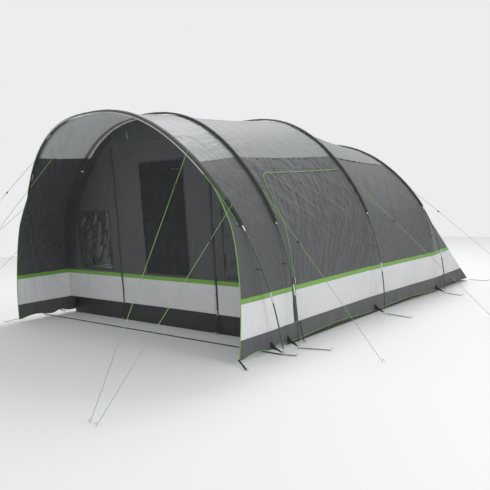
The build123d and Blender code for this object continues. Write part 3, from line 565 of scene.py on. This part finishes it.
# ------------------------------------------------------------------ roof and rear
LEFT_Z = [1.70, 1.71, 1.75, 1.66]  # the left seam lies higher than the right one
for b, nm in enumerate(("roof_porch", "roof_middle", "roof_rear")):
    def vl(a, b=b):
        r = []
        for h, zl_ in ((b, LEFT_Z[b]), (b + 1, LEFT_Z[b + 1])):
            t0 = t_at_z(h, ROOF_Z[h])
            r.append((pi - t_at_z(h, zl_ + .012) - t0) / (pi - 2 * t0))
        return lerp(r[0], r[1], a)
    ob = make(nm + "_cloth", [grid(lambda a, v, b=b: roof_pt(b, a, v * vl(a)), int((34, 110, 100)[b] * q), int(170 * q))], "roof", nodes=(nm,))
    cloth(ob, (.42, 1.57, 1.41)[b])
    ob = make(nm + "_left_edge", [grid(lambda a, v, b=b: roof_pt(b, a, lerp(vl(a), 1.0, v)), int((34, 110, 100)[b] * q), 16)], "wall")
    cloth(ob, (.42, 1.57, 1.41)[b])
ob = make("rear_panel_cloth", [grid(lambda a, v: rear_pt(a, 0, v), int(110 * q), int(70 * q))], "wall", nodes=("rear_panel",))
cloth(ob, 3.0)

# ------------------------------------------------------------------ front wall and its windows
LW, RW = (-1.28, -.73, .53, 1.15), (.85, 1.30, .53, 1.15)


def fp(x0, x1, z0, z1, nx=16, nzz=24, off=0.0):
    X0 = x0 if callable(x0) else (lambda z: x0)
    X1 = x1 if callable(x1) else (lambda z: x1)

    def f(a, b):
        z = lerp(z0, z1, b)
        return front(lerp(X0(z), X1(z), a), z, off)
    return grid(f, nx, nzz)


eL, eR = (lambda z: -edge_x(z)), (lambda z: edge_x(z))
zl, zr = top_z(.58) - .0005, top_z(.71) - .0005
# width of the dark strip at the front wall's left edge, which is painted shade cast by the porch's left wall
SHADE_STRIP_W = .15
pw = [fp(lambda z: -max(edge_x(z) - SHADE_STRIP_W, .58), LW[0], .53, 1.15, 3), fp(lambda z: -max(edge_x(z) - SHADE_STRIP_W, .58), -.58, .5, .53, 26, 2), fp(LW[1], -.58, .53, 1.15, 8),
      fp(lambda z: -max(edge_x(z) - SHADE_STRIP_W, .58), -.58, 1.15, zl, 26, 30),
      fp(.71, eR, .5, .53, 24, 2), fp(.71, RW[0], .53, 1.15, 8), fp(RW[1], eR, .53, 1.15, 6), fp(.71, eR, 1.15, zr, 24, 30)]
pw += [grid(lambda a, b: front(lerp(-.58, .71, a), lerp(1.80, top_z(lerp(-.58, .71, a)), b)), 40, 8)]
ob = make("front_wall_cloth", [p for p in pw], "wall", nodes=("front_wall",))
cloth(ob, 1.54)
# painted shade: a dark cloth strip along the left edge of the front wall stands in for the shadow of the porch's left
# wall
ob = make("front_wall_left_shade_strip", [fp(eL, lambda z: -max(edge_x(z) - SHADE_STRIP_W, .58), .5, zl, 6, 60)], "border")
cloth(ob, SHADE_STRIP_W)


def window(w, seed):
    def f(a, b):
        x, z = lerp(w[0], w[1], a), lerp(w[2], w[3], b)
        k = min(a, 1 - a, b, 1 - b)
        p = front(x, z)
        r = abs(nz(x * 5 + z * 3 + seed, z * 4 - x * 3, seed)) * .018 + nz(x * 11, z * 9, seed) * .004
        r += .0035 * creases(x, z, seed, .9, 13.0, 2.0) + .003 * creases(x, z, seed + 3, 2.1, 9.0, 1.6)
        p.y += (r - .006) * min(1, k / .08)
        return p
    return grid(f, 60, 60)


ob = make("clear_windows_film", [window(LW, 3.0), window(RW, 8.0)], "film", nodes=("clear_windows",))
cloth(ob, .62)
wb = []
for w in (LW, RW):
    for A, B in (((w[0], w[2]), (w[1], w[2])), ((w[1], w[2]), (w[1], w[3])), ((w[1], w[3]), (w[0], w[3])), ((w[0], w[3]), (w[0], w[2]))):
        wb.append(ribbon([front(lerp(A[0], B[0], i / 20), lerp(A[1], B[1], i / 20), .0004) for i in range(21)], (0, -1, 0), .022))
make("window_borders", wb, "border")

# ------------------------------------------------------------------ front door
dx0, dx1, mz = -.5795, .7095, (-.195, .405, .52, 1.62)
ob = make("front_door_cloth", [fp(dx0, dx1, .5, mz[2], 60, 2), fp(dx0, mz[0], mz[2], mz[3], 20, 60), fp(mz[1], dx1, mz[2], mz[3], 16, 60), fp(dx0, dx1, mz[3], 1.7995, 60, 12)], "wall", "front_door_panel", ("front_door",))
cloth(ob, 1.284)
ob = make("front_door_mesh_cloth", [fp(*mz, 40, 70, -.0015)], "mesh", "front_door_panel", ("front_door_mesh",))
cloth(ob, .6)
ob = make("front_door_mesh_cover", [fp(mz[0], mz[1], mz[2], 1.04, 40, 40, -.006)], "border", "front_door_panel")
cloth(ob, .6)
for nm, z0, z1, mat in (("front_door_belt", .46, .5, "green"), ("front_door_band", .188, .46, "light")):
    ob = make(nm + "_cloth", [fp(dx0, dx1, z0, z1, 60, 8)], mat, "front_door_panel", (nm,))
    cloth(ob, 1.284)
tr = []
for A, B in (((mz[0], mz[2]), (mz[1], mz[2])), ((mz[1], mz[2]), (mz[1], mz[3])), ((mz[1], mz[3]), (mz[0], mz[3])), ((mz[0], mz[3]), (mz[0], mz[2]))):
    tr.append(ribbon([front(lerp(A[0], B[0], i / 24), lerp(A[1], B[1], i / 24), .0004) for i in range(25)], (0, -1, 0), .016))
make("front_door_trim", tr, "border", "front_door_panel")

# zip flaps, teeth and the thin dark line beside the right window
zf, tz = [], []
for x in (-.58 - .0195, .71 + .0195):
    n = 60
    zf.append(ribbon([front(x + .0022 * nz(1, i * .35, x), lerp(.19, 1.79, i / n), .0008) for i in range(n + 1)], (0, -1, 0), .024, .0022))
make("zip_flaps_cloth", zf, "border", nodes=("zip_flaps",))
for x in (-.5795, .7095):
    n = 150
    for i in range(n):
        z = lerp(.195, 1.79, i / n)
        p = front(x, z, .0006)
        tz.append(tube([p + Vector((-.0022, 0, 0)), p + Vector((.0022, 0, 0))], .0016, 5))
make("front_zip_teeth", tz, "black", weld=False)
ln = [ribbon([front(.845, lerp(.51, 1.23, i / 20), .0006) for i in range(21)], (0, -1, 0), .012, .0016)]
make("front_wall_seams", ln, "border")
make("front_wall_tab", [ribbon([front(-.33, lerp(1.86, 1.93, i / 6), .001) for i in range(7)], (0, -1, 0), .018, .003)], "pipe")

# ------------------------------------------------------------------ side door
ob = make("side_door_cloth", [strip(.5, 1.4985, 1, DP0, DP1, int(190 * q), int(150 * q))], "wall", "side_door_panel", ("side_door",))
cloth(ob, 1.36)
for nm, z0, z1, mat in (("side_door_belt", .46, .5, "green"), ("side_door_band", .187, .46, "light")):
    ob = make(nm + "_cloth", [strip(z0, z1, 1, DP0, DP1, int(110 * q), 10)], mat, "side_door_panel", (nm,))
    cloth(ob, z1 - z0)
OUT = Vector((1, 0, .3)).normalized()


def off_side(U, z, d, wr=1.0):
    return side(U, z, 1, wr) + OUT * d


edge = [(DU0(z) - .005, z) for z in [lerp(.2, 1.24, i / 40) for i in range(41)]]
make("side_door_piping", [tube([off_side(U, z, .0055, .25) for U, z in edge], .0032, 8)], "pipe")


def yu(y, z):
    return u_at_y(y, z)


top = [(yu(door_y(z)[0] + .010, z), z) for z in (1.245, 1.27, 1.30)]
for i in range(1, 9):
    k = pi / 2 * i / 8
    z = lerp(1.30, 1.455, sin(k))
    top.append((yu(door_y(1.30)[0] + .010 + .13 * (1 - cos(k)), z), z))
for i in range(1, 31):
    z = lerp(1.455, 1.485, i / 30)
    top.append((yu(lerp(door_y(1.30)[0] + .14, door_y(1.5)[1] - .02, i / 30), z), z))
make("side_door_top_piping", [tube([off_side(U, z, .0055, .25) for U, z in top], .0032, 8)], "pipe", "side_door_panel")
make("side_door_flap", [ribbon([off_side(DU0(z) - .018 + .001 * nz(z * 20, 3), z, .0015) for z in [lerp(.19, .56, i / 24) for i in range(25)]], (1, 0, .1), .045, .003)], "flap")
tz = []
for i in range(120):
    z = lerp(.2, 1.49, i / 120)
    p = off_side(u_at_y(door_y(z)[0] + .0015, z), z, .0005)
    tz.append(tube([p + Vector((0, -.002, 0)), p + Vector((0, .002, 0))], .0015, 5))
make("side_zip_teeth", tz, "black", weld=False)

# ------------------------------------------------------------------ seams and edges of the body
sm = []
for s in (1,):
    for b in range(3):
        h0, h1 = b, b + 1
        n = 24
        A = Vector((cloth_x(h0, ROOF_Z[h0]), HOOPS[h0][1] + LEAN[h0] * ROOF_Z[h0], ROOF_Z[h0]))
        pts = [side(1 + b + min(i / n, .9999), lerp(ROOF_Z[h0], ROOF_Z[h1], i / n), s, .3) for i in range(n + 1)]
        sm.append(ribbon(pts, (s * .7, 0, .7), .022, .002))
make("roof_seams", sm, "border")
st = []
for s in (1, -1):
    for zc in (.4995, .4605, .1855):
        rng = [(0, 5)] if (s < 0 or zc < .19) else [(0, DU0(zc)), (DU1(zc), 5)]
        for U0, U1 in rng:
            n = 160
            st.append(tube([side(lerp(U0, min(U1, 4.9999), i / n), zc, s) + Vector((s * .0012, 0, 0)) for i in range(n + 1)], .0011, 5))
make("seam_stitching", st, "thread" if False else "border")
pp = []
for s in (1, -1):
    pp.append(tube([side(0, lerp(.04, 1.50, i / 60), s) + Vector((0, -.003, 0)) for i in range(61)], .0036, 8))
make("wing_piping", pp, "pipe", nodes=("piping",))

# ------------------------------------------------------------------ sleeves over the poles
def frame_at(h, t):
    p = arch(h, t)
    tan = (arch(h, t + .004) - arch(h, t - .004)).normalized()
    n = Vector((0, -1, LEAN[h])).normalized()
    r = tan.cross(n).normalized()
    if r.dot(Vector((p.x, 0, p.z))) < 0:
        r = -r
    return p, tan, n, r


def sleeve(h, half, w0=-1.0, w1=1.0, lift=0.0, pucker=1.0, t0=None):
    prof = [(-1, -6), (-.86, 1), (-.52, 9.6), (-.23, 11.8), (.23, 11.8), (.52, 9.6), (.86, 1), (1, -6)]
    prof = [(a, b) for a, b in prof if w0 - .01 <= a <= w1 + .01]
    t0 = t0 or t_at_z(h, 1.04)
    n = int(200 * q)

    def f(a, b):
        t = lerp(t0, pi - t0, a)
        p, tan, nn, r = frame_at(h, t)
        k = b * (len(prof) - 1)
        i = min(int(k), len(prof) - 2)
        w, rr = lerp(prof[i][0], prof[i + 1][0], k - i), lerp(prof[i][1], prof[i + 1][1], k - i)
        s = a * 4.4
        e = min(1.0, min(a, 1 - a) / .004)
        rr += pucker * (1.1 * nz(s * 16, w * 1.2, h) + .7 * nz(s * 42, w * 2, h + 3)) + lift
        ww = half * (w + .05 * pucker * nz(s * 24, 0, w * 3 + h))
        return p + nn * ww + r * (rr * .001)
    return grid(f, n, (len(prof) - 1) * 3)


def part_along(h, w, r, rad, sd):
    t0, t1 = t_at_z(h, 1.05), t_at_z(h, 1.62)
    pts = []
    for i in range(41):
        t = lerp(t0, t1, i / 40)
        p, tan, nn, rr = frame_at(h, t if sd > 0 else pi - t)
        pts.append(p + nn * w + rr * r)
    return tube(pts, rad, 6)


make("sleeve_porch_cloth", [sleeve(0, .030, t0=t_at_z(0, 1.24))], "porch", nodes=("sleeve_porch",))


def sleeve_end(h, half, sd, t0, t1):
    full = sleeve(h, half)
    def f(a, b):
        prof = [(-1, -6), (-.86, 1), (-.52, 9.6), (-.23, 11.8), (.23, 11.8), (.52, 9.6), (.86, 1), (1, -6)]
        t = lerp(t0, t1, a)
        p, tan, nn, r = frame_at(h, t if sd > 0 else pi - t)
        k = b * 7
        i = min(int(k), 6)
        w, rr = lerp(prof[i][0], prof[i + 1][0], k - i), lerp(prof[i][1], prof[i + 1][1], k - i)
        return p + nn * (half * w) + r * ((rr + .8 * nz(a * 9, w, h)) * .001)
    return grid(f, 24, 21)


make("sleeve_porch_ends", [sleeve_end(0, .029, sd, t_at_z(0, 1.04), t_at_z(0, 1.245)) for sd in (1, -1)], "black")
make("sleeves_black_cloth", [sleeve(h, .024) for h in (1, 2, 3)], "black", nodes=("sleeves_black",))


def along(h, w, r, rad, t0=None):
    t0 = t0 or t_at_z(h, 1.04)
    n = int(160 * q)
    pts = []
    for i in range(n + 1):
        p, tan, nn, rr = frame_at(h, lerp(t0, pi - t0, i / n))
        pts.append(p + nn * w + rr * r)
    return tube(pts, rad, 6)


make("sleeve_threads", [along(h, w, -.0035, .0014) for h in (1, 2, 3) for w in (-.0235, .0235)] + [along(0, -.029, -.003, .0022)], "thread")
make("porch_sleeve_edge", [along(0, .029, -.006, .0050, t_at_z(0, 1.45))], "pale")
make("porch_sleeve_piping", [part_along(0, .030, -.005, .0030, sd) for sd in (1, -1)], "pipe")

# ------------------------------------------------------------------ groundsheet, cabin
TX, TY = 1.495, 1.948


def tubwall(P0, P1, hgt, seed):
    def f(a, b):
        p = Vector(P0).lerp(Vector(P1), a)
        d = Vector((P1[1] - P0[1], -(P1[0] - P0[0]), 0)).normalized()
        k = min(1, min(a, 1 - a) / .02) * b
        p += d * (-.006 + .005 * nz(a * 12 + seed, b * 2) + .003 * nz(a * 40, b * 3, seed)) * k
        p.z = hgt * b + .002 * nz(a * 20, seed) * b * min(1, min(a, 1 - a) / .02)
        return p
    return grid(f, 90, 8)


ob = make("groundsheet_tub", [grid(lambda a, b: Vector((lerp(-TX, TX, a), lerp(-TY, TY, b), .0012 + .0012 * nz(a * 14, b * 18))), 90, 110),
          tubwall((-TX, -TY, 0), (TX, -TY, 0), .181, 1), tubwall((TX, -TY, 0), (TX, TY, 0), .12, 2), tubwall((TX, TY, 0), (-TX, TY, 0), .12, 3), tubwall((-TX, TY, 0), (-TX, -TY, 0), .12, 4)],
          "tub", nodes=("groundsheet",))
cloth(ob, 3.0)

CAB = [(-.23, [(1.34, .004), (1.29, .9), (1.01, 1.43), (.42, 1.76)]), (.9, [(1.35, .004), (1.24, .9), (.94, 1.3), (.4, 1.6)]), (1.72, [(1.33, .004), (1.32, .12), (.9, .22), (.4, .26)])]


def cab_ring(y, v):
    for (y0, A), (y1, B) in zip(CAB, CAB[1:]):
        if y <= y1 + 1e-9:
            u = (y - y0) / (y1 - y0)
            H = [(lerp(a[0], b[0], u), lerp(a[1], b[1], u)) for a, b in zip(A, B)]
            break
    P = H + [(-x, z) for x, z in reversed(H)]
    k = v * (len(P) - 1)
    i = min(int(k), len(P) - 2)
    return lerp(P[i][0], P[i + 1][0], k - i), lerp(P[i][1], P[i + 1][1], k - i)


def cab(a, b):
    y = lerp(-.228, 1.72, a)
    x, z = cab_ring(y, b)
    s = -.02 * abs(sin(b * 7 * pi)) + .008 * nz(x * 4, y * 4, z * 4)
    k = min(1, min(a, 1 - a) / .05)
    return Vector((x * (1 + .3 * s * k), y, max(.004, z * (1 + s * k))))


def cab_face(a, b):
    x, z = cab_ring(-.228, b)
    ang = b * pi
    fx, fz = (.5, .23), (.5, 1.43)
    bb = b * 7
    if b < .25: q_ = (.5, lerp(.23, 1.43, b / .25))
    elif b < .75: q_ = (lerp(.5, -.5, (b - .25) / .5), 1.43)
    else: q_ = (-.5, lerp(1.43, .23, (b - .75) / .25))
    X, Z = lerp(q_[0], x, a), lerp(q_[1], z, a)
    return Vector((X, -.228 - .004 + .006 * nz(X * 5, Z * 5, 2), Z))


ob = make("sleeping_cabin_cloth", [grid(cab, 60, 70), grid(cab_face, 14, 70), grid(lambda a, b: Vector((lerp(lerp(1.34, -1.34, a), lerp(.5, -.5, a), b), -.232, lerp(.004, .23, b))), 20, 5)], "cabin", nodes=("sleeping_cabin",))
cloth(ob, 1.95)

# ------------------------------------------------------------------ foot gussets, straps
gp = []
for h in range(4):
    w, fy, ay, top = HOOPS[h]
    for s in (1, -1):
        A, B_ = (cloth_x(h, .10), .10), (cloth_x(h, .036), .036)
        C, D = (w - .018, .012), (w - .014, .026)

        def f(a, b, s=s, h=h):
            x = lerp(lerp(A[0], D[0], a), lerp(B_[0], C[0], a), b)
            z = lerp(lerp(A[1], D[1], a), lerp(B_[1], C[1], a), b)
            z -= .006 * sin(pi * a) * (1 - b) - .006 * sin(pi * a) * b
            return Vector((s * x, HOOPS[h][1] + LEAN[h] * z + .004 * nz(x * 40, z * 40, h) * sin(pi * a), z))
        gp.append(grid(f, 12, 8))
make("foot_gussets_cloth", gp, "flap", nodes=("foot_gussets",))
sp = []
for h, dx, dy in ((0, .095, .02), (1, .25, .07), (2, .30, -.06), (3, .225, -.09)):
    w, fy = HOOPS[h][0], HOOPS[h][1]
    for s in (1, -1):
        a, b = Vector((s * (w + .019), fy, .0035)), Vector((s * (w + dx), fy + dy, .0035))
        sp.append(ribbon([a.lerp(b, i / 16) + Vector((0, .004 * nz(i * .4, h, s), .0025 + .004 * abs(nz(i * .5, h * 3, s)))) for i in range(17)], (0, 0, 1), .015, .0016))
for s in (1, -1):
    a, b = Vector((s * (REAR_X + .014), REAR_Y + .006, .003)), Vector((s * (REAR_X + .27), REAR_Y - .02, .003))
    sp.append(ribbon([a.lerp(b, i / 16) + Vector((0, 0, .004 * abs(nz(i * .5, 1, s)))) for i in range(17)], (0, 0, 1), .015, .0016))
    a, b = Vector((s * 1.537, -2.645, .040)), Vector((s * 1.68, -2.727, .006))
    sp.append(ribbon([a.lerp(b, i / 8) for i in range(9)], (0, -.2, 1), .015, .0016))
for x in (-.595, .725):
    sp.append(ribbon([Vector((x, -1.957, .180)).lerp(Vector((x, -1.987, .008)), i / 10) for i in range(11)], (0, -1, .15), .012, .0016))
sp.append(ribbon([Vector((cloth_x(1, .17) + .008, -1.83, .19)).lerp(Vector((1.590, -1.835, .010)), i / 10) for i in range(11)], (1, 0, .2), .016, .0016))
make("peg_straps_webbing", sp, "black", nodes=("peg_straps",))
w = HOOPS[0][0]
make("hoop_strap_webbing", [ribbon([Vector((lerp(-w + .018, w - .018, i / 90), HOOPS[0][1] + .004 * nz(i * .1, 2), .0012 + .002 * abs(nz(i * .2, 5)))) for i in range(91)], (0, 0, 1), .028, .0012)], "black", nodes=("hoop_strap",))

# ------------------------------------------------------------------ hard pieces keep the design's shapes
for name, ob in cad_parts.items():
    key = None
    if name.startswith("hoop_pole"): key = "pole"
    elif name in ("pole_ferrules", "foot_pins", "pegs", "guy_pegs", "front_zip_slider", "side_zip_slider"): key = "steel"
    elif name.startswith("tensioner") or name == "pole_clips": key = "plastic"
    if key:
        ob.data.materials.clear()
        ob.data.materials.append(M[key])

# ------------------------------------------------------------------ stage and light
fm = bpy.data.meshes.new("floor")
fm.from_pydata([(-9, -9, 0), (9, -9, 0), (9, 9, 0), (-9, 9, 0)], [], [(0, 1, 2, 3)])
floor = bpy.data.objects.new("floor", fm)
bpy.context.scene.collection.objects.link(floor)
fmat = bpy.data.materials.new("floor"); fmat.use_nodes = True
fmat.node_tree.nodes["Principled BSDF"].inputs["Base Color"].default_value = (.74, .74, .735, 1)
fmat.node_tree.nodes["Principled BSDF"].inputs["Roughness"].default_value = .9
fm.materials.append(fmat)

world = bpy.data.worlds.new("world"); bpy.context.scene.world = world
world.use_nodes = True
world.node_tree.nodes["Background"].inputs["Color"].default_value = (.97, .985, 1.0, 1)
world.node_tree.nodes["Background"].inputs["Strength"].default_value = .86


def area(name, loc, target, size, power):
    l = bpy.data.lights.new(name, "AREA"); l.energy = power; l.size = size
    o = bpy.data.objects.new(name, l); o.location = loc
    o.rotation_euler = (Vector(target) - Vector(loc)).to_track_quat("-Z", "Y").to_euler()
    bpy.context.scene.collection.objects.link(o)


area("key", (-1.5, 2.5, 8.0), (0, -.8, .8), 3.5, 400)
area("fill", (8.5, -2.5, 3.2), (0, -.6, 1), 2.5, 170)
bpy.context.scene.view_settings.view_transform = "Standard"

print("SHEETS", SHEETS)
